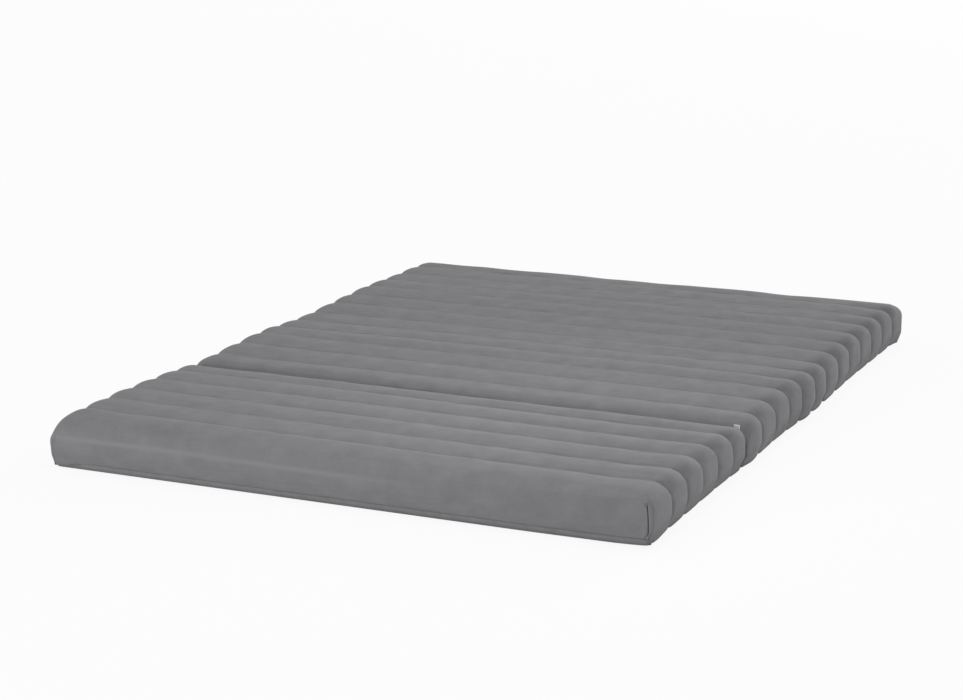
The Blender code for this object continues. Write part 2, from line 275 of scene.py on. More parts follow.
def bandedYarn(name, s):
    # fine raised bands, spacing millimetres apart: the turns of a thread or the floats of a satin
    material, tree, shader = newMaterial(name, s["shader"])
    place = addNode(tree, "TexCoord")
    inMm = addNode(tree, "VectorMath", {"operation": "SCALE", "Scale": 1000}, {0: place.outputs["Object"]})
    bands = addNode(tree, "TexWave", {"bands_direction": s["bands"], "Scale": 0.3 / s["spacing"],
                                      "Distortion": s["waver"]}, {"Vector": inMm}).outputs["Fac"]
    # painted shade and highlight: the raised bands are painted pale and the hollows between them dark
    tone = addNode(tree, "Mix", {"data_type": "RGBA", 6: linear(s["dark"]), 7: linear(s["pale"])}, {0: bands})
    relief = addNode(tree, "Bump", {"Strength": s["relief"], "Distance": 0.1 * mm}, {"Height": bands})
    dress(tree, shader, tone.outputs[2], relief)
    return material


# Polyurethane foam, cut with a wire: cream, with open cells of about a millimetre, drawn 2.5 mm wide.
foamStuff = {
    "cellShade": "#c9bb95", "face": "#e6dcbf", "cell": 2.5, "blush": 90, "cellDepth": 0.5 * mm,
    "shader": {"Roughness": 0.95, "Specular IOR Level": 0.15},
}


def openFoam(name, s):
    material, tree, shader = newMaterial(name, s["shader"])
    place = addNode(tree, "TexCoord")
    inMm = addNode(tree, "VectorMath", {"operation": "SCALE", "Scale": 1000}, {0: place.outputs["Object"]})
    cells = addNode(tree, "TexVoronoi", {"Scale": 1 / s["cell"]}, {"Vector": inMm})
    blush = addNode(tree, "TexNoise", {"Scale": 1 / s["blush"], "Detail": 3.0}, {"Vector": inMm})
    # partly painted shade: the colour darkens down in the open cells, and it also varies at random with the blush
    level = addNode(tree, "Math", {"operation": "MULTIPLY_ADD", 1: 0.6}, {0: cells, 2: blush})
    share = addNode(tree, "MapRange", {"From Min": 0.4, "From Max": 1.0}, {0: level})
    tone = addNode(tree, "Mix", {"data_type": "RGBA", 6: linear(s["face"]), 7: linear(s["cellShade"])}, {0: share})
    relief = addNode(tree, "Bump", {"Strength": 0.8, "Distance": s["cellDepth"], "invert": True}, {"Height": cells})
    dress(tree, shader, tone.outputs[2], relief)
    return material


materials = {
    "cover": wovenCloth("wovenPolyesterCover", coverCloth),
    "tape": wovenCloth("wovenEdgeTape", tapeCloth),
    "base": wovenCloth("wovenPolyesterLining", baseCloth),
    "thread": bandedYarn("twistedPolyesterThread", threadYarn),
    "foam": openFoam("wireCutPolyurethaneFoam", foamStuff),
    "ribbon": bandedYarn("whiteSatinRibbon", ribbonSatin),
}
print("materials made")


def startFresh(piece=None):
    bpy.ops.object.select_all(action="DESELECT")
    if piece:
        bpy.context.view_layer.objects.active = piece
        piece.select_set(True)


def addBlock(name, low, high):
    startFresh()
    middle = [(a + b) / 2 for a, b in zip(low, high)]
    bpy.ops.mesh.primitive_cube_add(size=1, location=middle, scale=[b - a for a, b in zip(low, high)])
    piece = bpy.context.object
    piece.name = name
    bpy.ops.object.transform_apply(location=True, rotation=True, scale=True)
    return piece


def selectWhere(piece, kind, test):
    # kind is verts, edges or faces, and the piece is open in edit mode
    bm = bmesh.from_edit_mesh(piece.data)
    for part in getattr(bm, kind):
        part.select = test(part)
    if kind == "verts":
        bm.select_flush(True)
    bmesh.update_edit_mesh(piece.data)


def cutAcross(piece, axis, places):
    normal = [0, 0, 0]
    normal[axis] = 1
    bpy.ops.object.mode_set(mode="EDIT")
    for place in places:
        bpy.ops.mesh.select_all(action="SELECT")
        bpy.ops.mesh.bisect(plane_co=[place * n for n in normal], plane_no=normal, threshold=0.01 * mm)
    bpy.ops.object.mode_set(mode="OBJECT")


def getPlaces(piece):
    places = np.zeros(len(piece.data.vertices) * 3)
    piece.data.vertices.foreach_get("co", places)
    return places.reshape(-1, 3)


def setPlaces(piece, places):
    piece.data.vertices.foreach_set("co", np.asarray(places, np.float32).ravel())
    piece.data.update()


def setAttribute(piece, name, values):
    layer = piece.data.attributes.new(name, "FLOAT", "POINT")
    layer.data.foreach_set("value", np.asarray(values, np.float32))


def applyModifiers(piece):
    startFresh(piece)
    for modifier in list(piece.modifiers):
        bpy.ops.object.modifier_apply(modifier=modifier.name)


def addWall(piece, thickness, offset=-1):
    wall = piece.modifiers.new("wall", "SOLIDIFY")
    wall.thickness = thickness
    wall.offset = offset
    applyModifiers(piece)


def finishPiece(piece, material, slot, body=None):
    if slot != "foam":
        liftCorner(piece)
    piece.data.materials.clear()
    piece.data.materials.append(material)
    piece.data.polygons.foreach_set("use_smooth", [True] * len(piece.data.polygons))
    piece.data.update()
    if body:
        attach(piece, body)


# how high the front right corner stands, and how far round it: the whole corner, and its very tip
cornerLift = {"heights": (2 * mm, 3 * mm), "reaches": (260 * mm, 70 * mm), "alongShare": 2.5, "fade": 60 * mm}


def liftCorner(piece):
    c = cornerLift
    places = getPlaces(piece)
    x, y, z = places.T
    far = np.hypot(x - mattress["halfWidth"], c["alongShare"] * (y - shortSection["outer"]))
    lift = sum(height * np.clip(1 - far / reach, 0, 1) for height, reach in zip(c["heights"], c["reaches"]))
    places[:, 2] += lift * np.clip(1 - z / c["fade"], 0, 1)
    setPlaces(piece, places)


def mapCloth(piece):
    # the block's faces unrolled from the top, in metres
    uv = piece.data.uv_layers.new(name="clothMap")
    places = getPlaces(piece)
    values = np.zeros((len(piece.data.loops), 2))
    for face in piece.data.polygons:
        nx, ny, nz = face.normal
        for loop, vert in zip(face.loop_indices, face.vertices):
            x, y, z = places[vert]
            fall = mattress["thickness"] - z
            if abs(nx) > 0.5:
                values[loop] = (x + (fall if nx > 0 else -fall), y)
            elif abs(ny) > 0.5:
                values[loop] = (x, y + (fall if ny > 0 else -fall))
            else:
                values[loop] = (x, y)
    uv.data.foreach_set("uv", values.ravel())


def gridBlock(section, name, heights, openWays, across, along, up):
    # a block over the whole section, open upwards (1), downwards (-1) or both, cut at the given places
    half = mattress["halfWidth"]
    ends = sorted((section["outer"], toY(section, section["length"])))
    piece = addBlock(section["name"] + name, (-half, ends[0], heights[0]), (half, ends[1], heights[1]))
    bpy.ops.object.mode_set(mode="EDIT")
    selectWhere(piece, "faces", lambda face: round(face.normal.z) in openWays)
    bpy.ops.mesh.delete(type="FACE")
    bpy.ops.object.mode_set(mode="OBJECT")
    for axis, places in ((2, up), (0, across), (1, along)):
        cutAcross(piece, axis, places)
    mapCloth(piece)
    return piece, getPlaces(piece)


def waves(x, y, seed):
    return np.array([noise.fractal(Vector((a, b, seed)), 1.0, 2.0, 2) for a, b in zip(x, y)])


def ease(share):
    share = np.clip(share, 0, 1)
    return share * share * (3 - 2 * share)


def arcDrop(distance, length, height):
    reach = np.clip(1 - distance / length, 0, 1)
    return height * (1 - np.sqrt(1 - reach**2))


def perRib(section, key, distance):
    # each rib's own value, passing smoothly into the next across the seam
    values = np.array(section[key]) * mm
    return np.interp(ribPlace(section, distance), np.arange(section["ribs"]) + 0.5, values)


quilting = {
    "crestPlace": 0.5,              # a rib's crest lies this share of its width from its front seam
    "frontPower": 2.0, "rearPower": 2.2, "sidePower": 2.8,
    "topLean": 12 * mm,             # the seams lie this much nearer the short end on top than at the sides
    "leanFrom": 55 * mm,
    "leftFrom": 250 * mm, "leftOver": 400 * mm,         # where the left rises come in
    "edgeFrom": 560 * mm, "edgeOver": 110 * mm,         # where the edge valleys come in
    "edgeValley": (8 * mm, 3.5 * mm), "sideValley": (8.5 * mm, 5.5 * mm), "dimple": (9 * mm, 3 * mm),   # right, left
    "shoulderWidth": 35 * mm, "shoulderHeight": 27 * mm, "shoulderPower": 2.1,
    "dimpleBehind": 21 * mm, "dimpleAhead": 9 * mm, "dimplePower": 1.3,
    "foldRollLength": 54 * mm, "foldRollHeight": 18 * mm, "foldCorner": {"short": 14 * mm, "long": 7 * mm},
    "cornerRadius": 8 * mm,
    "crestTuck": 13.5 * mm, "valleyTuck": 3.5 * mm, "endTuck": 1.4 * mm, "widestShare": 0.32,
    # the share of the tuck at a corner, how far from the end it begins to grow, and over what length
    "slitTuck": (0.75, 40 * mm, 60 * mm), "cornerTuck": (0.6, 10 * mm, 75 * mm),
    "hangFrom": 615 * mm, "hangOver": 55 * mm, "hangLength": 50 * mm, "hangTuck": -1.8 * mm, "hangDrop": 0.9,
    "bellyDrop": 12 * mm, "valleyDrop": 6 * mm, "mostDrop": 14.3 * mm, "dropFrom": 16 * mm,
    "foamEdge": 18 * mm, "leastWadding": 2.6 * mm,     # the foam's rounded upper edges, and the cloth over them
    "seamWander": 2.0 * mm, "crownWander": 1.2 * mm, "puffWander": 1.6 * mm, "hemWander": 2.0 * mm,
    "pucker": 2.0 * mm, "calmEnd": 60 * mm,            # nothing wanders at the ends
    "seamSoftness": 16 * mm,
    "ribShares": (0, 0.025, 0.07, 0.14, 0.23, 0.33, 0.44, 0.56, 0.67, 0.77, 0.86, 0.93, 0.975),
    "columns": 34, "shoulderColumns": 7, "sideRows": 11, "shoulderRows": 5,
}
# the soft drag line across an end face: how far across it is, and its height, in millimetres
endCrease = {
    "short": ((-700, 69), (-560, 69), (-400, 70), (-200, 68), (40, 67), (260, 65)),
    "long": ((-420, 60), (-200, 66), (60, 71), (300, 70), (520, 77), (700, 84)),
    "proud": 6 * mm, "ripple": 0.6 * mm, "rippleLength": 15 * mm, "unevenness": 1.0 * mm,
    # the last width is that of the painted highlight along the drag line
    "reach": 30 * mm, "dragHighlightWidth": 5 * mm,
}
# the sewn slit at an end corner: its height and how far out it stands; columns are the cuts beside it, from
# the side, and offsets are where they come to lie; in millimetres
cornerSlit = {
    "line": ((14, 688), (24, 690), (55, 689.5), (78, 687.5), (93, 686)),
    "columns": (5.2, 3.8, 2.8, 1.8, 0.7), "offsets": (-2.6, -1.1, 0, 0.9, 1.7),
    "depth": 8 * mm, "closedDepth": 1.5 * mm,
}


def ribCrown(section, distance):
    # at the sides a rib is a full puff; on top it rises and falls gently
    ribsIn = ribPlace(section, distance)
    off = np.abs(2 * (ribsIn % 1) - 1)
    power = quilting["sidePower"]
    arch = np.clip(1 - off**power, 0, 1) ** (1 / power)
    crest = quilting["crestPlace"]
    along = ribsIn % 1 if section["inward"] > 0 else 1 - ribsIn % 1
    front = 1 - np.clip(1 - along / crest, 0, 1) ** quilting["frontPower"]
    rear = 1 - np.clip((along - crest) / (1 - crest), 0, 1) ** quilting["rearPower"]
    level = crest if section["inward"] > 0 else 1 - crest
    isEnd = (ribsIn < 0.5) | ((section["name"] == "long") & (ribsIn > section["ribs"] - 0.5))
    return np.where(isEnd, 1, arch), np.where(ribsIn < level, 1, front * rear)


def stationsAlong(section):
    # closer together at the outer end, beside the seams and at the fold
    first = section["seams"][1]
    places = [gap * mm for gap in (1.2, 3, 5.5, 9, 15, 24, 36, 50)] + [first - gap * mm for gap in (34, 20, 10, 4)]
    for rib in range(1, section["ribs"]):
        start, end = section["seams"][rib:rib + 2]
        places += [start + (end - start) * share for share in quilting["ribShares"]]
    places = [place for place in places if place < section["length"] - 9 * mm]
    places += [section["length"] - gap * mm for gap in (8, 4.5, 2, 0.8)]
    return [toY(section, place) for place in places]


def stationsAcross():
    q, half = quilting, mattress["halfWidth"]
    flat = half - q["shoulderWidth"]
    right = [flat * (step + 0.5) * 2 / (q["columns"] + 1) for step in range(q["columns"] // 2)]
    right += [half - q["shoulderWidth"] * (1 - step / q["shoulderColumns"]) for step in range(q["shoulderColumns"])]
    right += [half - gap * mm for gap in cornerSlit["columns"]]
    return sorted([-x for x in right] + right)


def stationsUp():
    q = quilting
    shoulder = mattress["thickness"] - q["shoulderHeight"]
    rise = shoulder - mattress["rim"]
    side = [mattress["rim"] + rise * (step + 1) / q["sideRows"] for step in range(q["sideRows"])]
    return side + [shoulder + q["shoulderHeight"] * step / q["shoulderRows"] for step in range(1, q["shoulderRows"])]


def quiltedPlaces(section, block):
    # the block's points carried to the quilted form
    q = quilting
    half0, top, rim = mattress["halfWidth"], mattress["thickness"], mattress["rim"]
    x, y, z = block.T
    isRight = x > 0
    side = np.where(isRight, 1.0, -1.0)
    across = np.abs(x)
    distance = np.abs(y - section["outer"])
    toFold = section["length"] - distance
    seed = section["seed"]
    ribsIn = ribPlace(section, distance)
    ribNumber = np.floor(ribsIn)
    offSeam = np.where(ribsIn > 0.5, np.abs(ribsIn - np.round(ribsIn)) * section["pitch"], 1)
    behindSeam = (ribsIn - np.round(ribsIn)) * section["inward"] > 0
    sideCrown, crown = ribCrown(section, distance)

    # how high the top lies, and how far out the sides
    edgeValley, sideValley, dimple = (np.where(isRight, *q[key]) for key in ("edgeValley", "sideValley", "dimple"))
    inside = ease(distance / q["calmEnd"]) * ease(toFold / q["calmEnd"])
    crownWander = waves(x * 2.2, ribNumber * 3.7 + y * 2, seed + 0.5) * q["crownWander"]
    puff = waves(side * 3.1 + z * 6, ribNumber * 5.3 + 0.4, seed + 7.5) * q["puffWander"]
    puff = puff + np.where(isRight, perRib(section, "bulge", distance), perRib(section, "leftBulge", distance))
    lift = perRib(section, "rise", distance)
    lift = lift + perRib(section, "leftRise", distance) * ease((-x - q["leftFrom"]) / q["leftOver"])
    valley = perRib(section, "topValley", distance) * readTable(section["valleyShare"], x, 1)
    valley = valley + (edgeValley - valley) * ease((across - q["edgeFrom"]) / q["edgeOver"])
    height = top - valley * (1 - crown) + crownWander * crown * inside + lift
    height -= arcDrop(distance, section["endRollLength"], readTable(section["endRoll"], x))
    height -= arcDrop(toFold, q["foldRollLength"], q["foldRollHeight"])
    half = half0 - sideValley * (1 - sideCrown) + (puff * sideCrown - 0.5 * mm) * inside
    half -= arcDrop(distance, q["cornerRadius"], q["cornerRadius"])
    foldCorner = q["foldCorner"][section["name"]]
    half -= arcDrop(toFold, foldCorner, foldCorner * 0.8)

    # the rounded shoulder between them, pinched in at each seam
    leanX = np.clip(1 - (half0 - across) / q["shoulderWidth"], 0, 1)
    leanZ = np.clip(1 - (top - z) / q["shoulderHeight"], 0, 1)
    power = q["shoulderPower"]
    lean = np.maximum((leanX**power + leanZ**power) ** (1 / power), 1e-6)
    outX = np.maximum(leanX, leanZ) * leanX / lean
    outZ = np.maximum(leanX, leanZ) * leanZ / lean
    closeness = np.exp(-(offSeam / np.where(behindSeam, q["dimpleBehind"], q["dimpleAhead"]))**2)
    dimple = dimple + waves(across * 45 + z * 30, y * 28, seed + 12.5) * q["pucker"]
    pinch = dimple * closeness * (2 * outX * outZ)**q["dimplePower"]
    newX = np.where(leanX > 0, half - q["shoulderWidth"] + (q["shoulderWidth"] - pinch) * outX,
                    across * (half - q["shoulderWidth"]) / (half0 - q["shoulderWidth"]))
    share = (z - rim) / (top - q["shoulderHeight"] - rim)
    newZ = np.where(leanZ > 0, height - q["shoulderHeight"] + (q["shoulderHeight"] - pinch) * outZ,
                    rim + share * (height - q["shoulderHeight"] - rim))

    # low down the sides tuck in; at the outer corners without a slit the hem hangs over the binding
    isSlit = (section["name"] == "short") & isRight
    hangs = ~isSlit * ease((across - q["hangFrom"]) / q["hangOver"]) * ease(1 - distance / q["hangLength"])
    widest = rim + q["widestShare"] * (top - rim)
    low = np.clip(1 - (z - rim) / (widest - rim), 0, 1) ** (2 + 3 * hangs)
    tuck = q["valleyTuck"] + (q["crestTuck"] - q["valleyTuck"]) * sideCrown
    least, start, over = (np.where(isSlit, a, b) for a, b in zip(q["slitTuck"], q["cornerTuck"]))
    newX = newX - low * leanX * tuck * (least + (1 - least) * ease((distance - start) / over))
    end = np.clip(1 - distance / section["endRollLength"], 0, 1)
    newY = y + section["inward"] * (q["endTuck"] + (q["hangTuck"] - q["endTuck"]) * hangs) * low * end
    newY = newY + waves(x * 1.9, y * 3.1, seed + 2.5) * q["seamWander"] * inside
    newY = newY - q["topLean"] * ease((z - q["leanFrom"]) / (top - q["leanFrom"])) * inside

    onSide = across > half0 - 0.1 * mm
    hem = waves(side * 9.1, ribNumber * 4.1 + 0.7, seed + 4.5) * q["hemWander"] * sideCrown
    drop = np.clip(q["valleyDrop"] + (q["bellyDrop"] - q["valleyDrop"]) * sideCrown + hem, 0, q["mostDrop"])
    drop = drop * np.maximum(onSide * ease(distance / q["dropFrom"]), hangs * q["hangDrop"])
    newZ = newZ - np.where(z < rim + 0.1 * mm, drop, 0)
    return np.stack([side * newX, newY, newZ], 1)


def pressEndFace(section, block, places):
    # the end face stands out below its drag line, with small ripples along the right half
    c = endCrease
    x, y, z = block.T
    newZ = places[:, 2]
    line = c[section["name"]]
    first, last = line[0][0] * mm, line[-1][0] * mm
    middle = readTable(line, x)
    fade = ease((x - first + 80 * mm) / (90 * mm)) * ease((last + 60 * mm - x) / (260 * mm))
    rise = ease((middle + 6 * mm - newZ) / (11 * mm)) - ease((middle - 6 * mm - newZ) / (60 * mm))
    ripple = np.sin(x / c["rippleLength"] * 2 * pi + 2 * np.sin(x * 31))
    ripple = ripple * ease((x - 0.5) / 0.1) * ease((0.685 - x) / 0.03)
    ripple = ripple * ease((newZ - 20 * mm) / (20 * mm)) * ease((90 * mm - newZ) / (30 * mm))
    soft = waves(x * 3.4, z * 9, section["seed"] + 9.5) * c["unevenness"] * ease((z - 20 * mm) / (40 * mm))
    onFace = np.clip(1 - np.abs(y - section["outer"]) / c["reach"], 0, 1)
    out = (rise * fade * c["proud"] + ripple * c["ripple"] + soft) * onFace
    places[:, 1] -= section["inward"] * out


def paintDragHighlight(piece, section):
    # painted highlight: the cloth is painted paler along the drag line, where the crease catches the light
    x, y, z = getPlaces(piece).T
    line = endCrease[section["name"]]
    fade = ease((x - line[0][0] * mm + 30 * mm) / (60 * mm)) * ease((line[-1][0] * mm - x) / (300 * mm))
    near = np.exp(-((z - readTable(line, x)) / endCrease["dragHighlightWidth"]) ** 2)
    setAttribute(piece, "rubbedLine", near * fade * (np.abs(y - section["outer"]) < 60 * mm))


def cutSlits(section, block, places):
    # the columns beside each end corner follow the seam there; at the front right it stands open
    line = cornerSlit["line"]
    top = line[-1][0] * mm
    edge = mattress["halfWidth"] - np.abs(block[:, 0])
    distance = np.abs(block[:, 1] - section["outer"])
    height = places[:, 2]
    out = readTable(line, height)
    fade = ease((top + 1 * mm - height) / (12 * mm))
    follow = ease((top + 14 * mm - height) / (16 * mm)) * ease(1 - distance / (12 * mm))
    for column, offset in zip(cornerSlit["columns"], cornerSlit["offsets"]):
        there = np.abs(edge - column * mm) < 0.1 * mm
        goal = np.sign(places[:, 0]) * (out + offset * mm)
        places[there, 0] += ((goal - places[:, 0]) * follow)[there]
        there = there & (distance < 0.5 * mm)
        if offset == 0:
            isOpen = (places[:, 0] > 0) & (section["name"] == "short")
            depth = np.where(isOpen, cornerSlit["depth"], cornerSlit["closedDepth"])
            places[there, 1] += section["inward"] * (depth * fade)[there]


def liftOffFoam(piece, section):
    # the cloth never sinks to the foam block inside
    foam = getPlaces(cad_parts[section["name"] + "_foam_core"])
    places = getPlaces(piece)
    radius = quilting["foamEdge"]
    off = places - np.clip(places, foam.min(0) + radius, foam.max(0) - radius)
    far = np.maximum(np.linalg.norm(off, axis=1), 1e-6)
    lift = np.where(places[:, 2] > 45 * mm, np.maximum(radius + quilting["leastWadding"] - far, 0), 0)
    setPlaces(piece, places + off * (lift / far)[:, None])
    print("cloth lifted off the foam by up to", round(float(lift.max()) / mm, 2), "mm")


# the cover is blown up a little as cloth, and a share of each move, up to the cap, is taken
puffing = {
    "cloth": {"quality": 6, "mass": 0.25, "tension_stiffness": 25, "compression_stiffness": 25, "shear_stiffness": 12,
              "bending_stiffness": 1.2, "use_pressure": True, "uniform_pressure_force": 2.2, "shrink_min": -0.012,
              "vertex_group_mass": "sewn"},
    "frames": 20, "cap": 5 * mm, "share": 0.3,
}


def puffUp(piece, pinned):
    startFresh(piece)
    group = piece.vertex_groups.new(name="sewn")
    group.add([int(i) for i in np.nonzero(pinned)[0]], 1.0, "REPLACE")
    modifier = piece.modifiers.new("puff", "CLOTH")
    for key, value in puffing["cloth"].items():
        setattr(modifier.settings, key, value)
    modifier.settings.effector_weights.gravity = 0
    modifier.point_cache.frame_start = 1
    modifier.point_cache.frame_end = puffing["frames"]
    before = getPlaces(piece)
    scene = bpy.context.scene
    for step in range(1, puffing["frames"] + 1):
        scene.frame_set(step)
    shape = piece.evaluated_get(bpy.context.evaluated_depsgraph_get()).to_mesh()
    after = np.zeros(len(shape.vertices) * 3)
    shape.vertices.foreach_get("co", after)
    moved = after.reshape(-1, 3) - before
    piece.modifiers.remove(modifier)
    scene.frame_set(1)
    far = np.linalg.norm(moved, axis=1)
    moved *= (puffing["share"] * np.minimum(far, puffing["cap"]) / np.maximum(far, 1e-9))[:, None]
    setPlaces(piece, before + moved)
    piece.vertex_groups.remove(group)
    print("puffed", piece.name, "by", round(float(far.mean()) / mm, 2), "mm, most", round(float(far.max()) / mm, 2))


# the outline of the binding and of the base under it; the insets are from the cover's box
edgeRing = {
    "cornerInset": 7 * mm, "sideInset": 40 * mm, "endInset": 1.5 * mm, "foldInset": 1 * mm,
    "cornerRadius": 16 * mm, "foldRadius": 6 * mm,
}


def ringHalf(section, distance):
    ring = edgeRing
    inward = np.clip((distance - ring["cornerRadius"]) / (section["pitch"] - ring["cornerRadius"]), 0, 1)
    return mattress["halfWidth"] - (ring["cornerInset"] + (ring["sideInset"] - ring["cornerInset"]) * inward)


def onRing(section, block, inset=0):
    # block places inside the plain rectangle, carried to the rounded outline of the binding
    ring = edgeRing
    x, y = block[:, 0], block[:, 1]
    share = np.clip(np.abs(y - section["outer"]) / section["length"], 0, 1)
    first, last = ring["endInset"] + inset, section["length"] - ring["foldInset"] - inset
    distance = first + (last - first) * share
    edge = ringHalf(section, distance) - inset
    out = np.abs(x) / mattress["halfWidth"] * edge
    for end, sign, radius in ((first, 1, ring["cornerRadius"]), (last, -1, ring["foldRadius"])):
        a = np.clip(1 - (edge - out) / radius, 0, 1)
        b = np.clip(1 - np.abs(distance - end) / radius, 0, 1)
        factor = np.maximum(a, b) / np.maximum(np.hypot(a, b), 1e-6)
        both = (a > 0) & (b > 0)
        out = np.where(both, edge - radius + radius * a * factor, out)
        distance = np.where(both, end + sign * radius * (1 - b * factor), distance)
    return np.where(x > 0, out, -out), toY(section, distance)


# the hem's three turns: how far outside the binding's ring and from the ends it goes, in millimetres, and
# the share of the way across and up that it takes
hemTurns = ((1.5, 4.5, 0.3, 0), (1.5, 5.5, 1, 1), (-3, 7, 1, 1))


def turnUnder(piece, section):
    # the cloth's lower edge turns in to a hem that lies on the binding
    startFresh(piece)
    bpy.ops.object.mode_set(mode="EDIT")
    bpy.ops.mesh.select_mode(type="EDGE")
    bpy.ops.mesh.select_all(action="DESELECT")
    bpy.ops.mesh.select_non_manifold(extend=False, use_wire=False, use_boundary=True, use_multi_face=False,
                                     use_non_contiguous=False, use_verts=False)
    length = section["length"]
    for outside, fromEnd, acrossShare, upShare in hemTurns:
        bpy.ops.mesh.extrude_edges_move()
        bm = bmesh.from_edit_mesh(piece.data)
        for vert in (v for v in bm.verts if v.select):
            distance = abs(vert.co.y - section["outer"])
            side = 1 if vert.co.x > 0 else -1
            goalX = min(abs(vert.co.x), float(ringHalf(section, distance)) + outside * mm)
            inset = max(min(distance, length - distance), fromEnd * mm)
            vert.co.x += (side * goalX - vert.co.x) * acrossShare
            vert.co.y = toY(section, inset if distance < length / 2 else length - inset)
            vert.co.z += (mattress["rim"] - vert.co.z) * upShare
        bmesh.update_edit_mesh(piece.data)
    bpy.ops.mesh.edge_face_add()
    bpy.ops.mesh.select_mode(type="VERT")
    bpy.ops.object.mode_set(mode="OBJECT")


def hollowOut(piece, section):
    # the foam core's place, and a little room round it, is taken out
    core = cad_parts[section["name"] + "_foam_core"]
    cutter = core.copy()
    cutter.data = core.data.copy()
    cutter.name = "coreSpace"
    bpy.context.scene.collection.objects.link(cutter)
    startFresh(cutter)
    bpy.ops.object.mode_set(mode="EDIT")
    bpy.ops.mesh.select_all(action="SELECT")
    bpy.ops.mesh.remove_doubles(threshold=0.01 * mm)
    bpy.ops.mesh.normals_make_consistent(inside=False)
    bpy.ops.transform.shrink_fatten(value=foamCore["room"])
    bpy.ops.object.mode_set(mode="OBJECT")
    modifier = piece.modifiers.new("hollow", "BOOLEAN")
    modifier.operation = "DIFFERENCE"
    modifier.solver = "EXACT"
    modifier.object = cutter
    applyModifiers(piece)
    bpy.data.objects.remove(cutter)


def makeCover(section):
    half, rim = mattress["halfWidth"], mattress["rim"]
    piece, block = gridBlock(section, "QuiltedCover", (rim, mattress["thickness"]), (-1,),
                             stationsAcross(), stationsAlong(section), stationsUp())
    places = quiltedPlaces(section, block)
    pressEndFace(section, block, places)
    cutSlits(section, block, places)
    setPlaces(piece, places)
    distance = np.abs(block[:, 1] - section["outer"])
    toFold = section["length"] - distance
    ribsIn = ribPlace(section, distance)
    offSeam = np.abs(ribsIn - np.round(ribsIn)) * section["pitch"]
    onSeam = (offSeam < 0.2 * mm) & (ribsIn > 0.5) & (toFold > 5 * mm)
    setAttribute(piece, "seamLine", onSeam)
    setAttribute(piece, "seamCloseness", np.exp(-(offSeam / quilting["seamSoftness"]) ** 2) * (ribsIn > 0.5))
    corner = (np.abs(block[:, 0]) > half - 9 * mm) & (distance < 9 * mm)
    puffUp(piece, onSeam | (block[:, 2] < rim + 1 * mm) | (toFold < 1 * mm) | corner)
    smoothing = piece.modifiers.new("smoothing", "SUBSURF")
    smoothing.levels = 1
    applyModifiers(piece)
    liftOffFoam(piece, section)
    paintDragHighlight(piece, section)
    seams = findSeams(piece, section)
    turnUnder(piece, section)
    hollowOut(piece, section)
    finishPiece(piece, materials["cover"], "quilted_fabric", section["body"])
    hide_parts(section["name"] + "_quilted_cover")
    print("quilted cover made:", section["name"], len(piece.data.polygons), "faces")
    return seams


def findSeams(piece, section):
    # each channel seam's points over the cover, left rim to right rim, with the cloth's normals
    count = len(piece.data.vertices)
    places, normals, sewn = getPlaces(piece), np.zeros(count * 3), np.zeros(count, np.float32)
    piece.data.vertices.foreach_get("normal", normals)
    normals = normals.reshape(-1, 3)
    piece.data.attributes["seamLine"].data.foreach_get("value", sewn)
    number = np.round(ribPlace(section, np.abs(places[:, 1] - section["outer"]))).astype(int)
    seams = []
    for seam in range(1, section["ribs"]):
        mine = np.nonzero((sewn > 0.95) & (number == seam) & (places[:, 2] > 22 * mm))[0]
        run = places[mine, 0] + np.sign(places[mine, 0]) * (mattress["thickness"] - places[mine, 2])
        order = mine[np.argsort(run)]
        seams.append((places[order], normals[order]))
    return seams


stitching = {
    "length": 3.1 * mm, "pitch": 4.2 * mm, "width": 0.8 * mm, "height": 0.6 * mm,
    "endSize": 0.45, "endDip": 0.25 * mm, "proud": 0.1 * mm,
}


def makeStitch():
    # a short rounded thread whose two ends dip into the cloth
    s = stitching
    low, high = (0, -s["width"] / 2, -s["height"] / 2), (s["length"], s["width"] / 2, s["height"] / 2)
    stitch = addBlock("stitch", low, high)
    cutAcross(stitch, 0, (s["length"] * 0.25, s["length"] * 0.75))
    bpy.ops.object.mode_set(mode="EDIT")
    for end in (0, s["length"]):
        selectWhere(stitch, "verts", lambda vert: abs(vert.co.x - end) < 0.05 * mm)
        bpy.ops.transform.resize(value=(1, s["endSize"], s["endSize"]))
        bpy.ops.transform.translate(value=(0, 0, -s["endDip"]))
    bpy.ops.object.mode_set(mode="OBJECT")
    return stitch


def sewRow(stitch, points, normals):
    # a straight row of stitches, bent along the seam's points
    steps = np.linalg.norm(np.diff(points, axis=0), axis=1)
    run = np.concatenate([[0], np.cumsum(steps)])
    row = stitch.copy()
    row.data = stitch.data.copy()
    bpy.context.scene.collection.objects.link(row)
    array = row.modifiers.new("row", "ARRAY")
    array.count = int((run[-1] - stitching["length"]) / stitching["pitch"])
    array.use_relative_offset = False
    array.use_constant_offset = True
    array.constant_offset_displace = (stitching["pitch"], 0, 0)
    applyModifiers(row)
    along, aside, up = getPlaces(row).T
    slopes = np.stack([np.gradient(points[:, i], run) for i in range(3)], 1)
    point, normal, ahead = (np.stack([np.interp(along, run, values[:, i]) for i in range(3)], 1)
                            for values in (points, normals, slopes))
    ahead /= np.linalg.norm(ahead, axis=1)[:, None]
    normal -= ahead * (ahead * normal).sum(1)[:, None]
    normal /= np.linalg.norm(normal, axis=1)[:, None]
    right = np.cross(normal, ahead)
    setPlaces(row, point + right * aside[:, None] + normal * (up + stitching["proud"])[:, None])
    return row


def joinRows(name, rows, section):
    startFresh()
    for row in rows:
        row.select_set(True)
    bpy.context.view_layer.objects.active = rows[0]
    bpy.ops.object.join()
    rows[0].name = name
    finishPiece(rows[0], materials["thread"], "quilted_fabric", section["body"])
    print("stitches sewn:", name, len(rows[0].data.polygons), "faces")


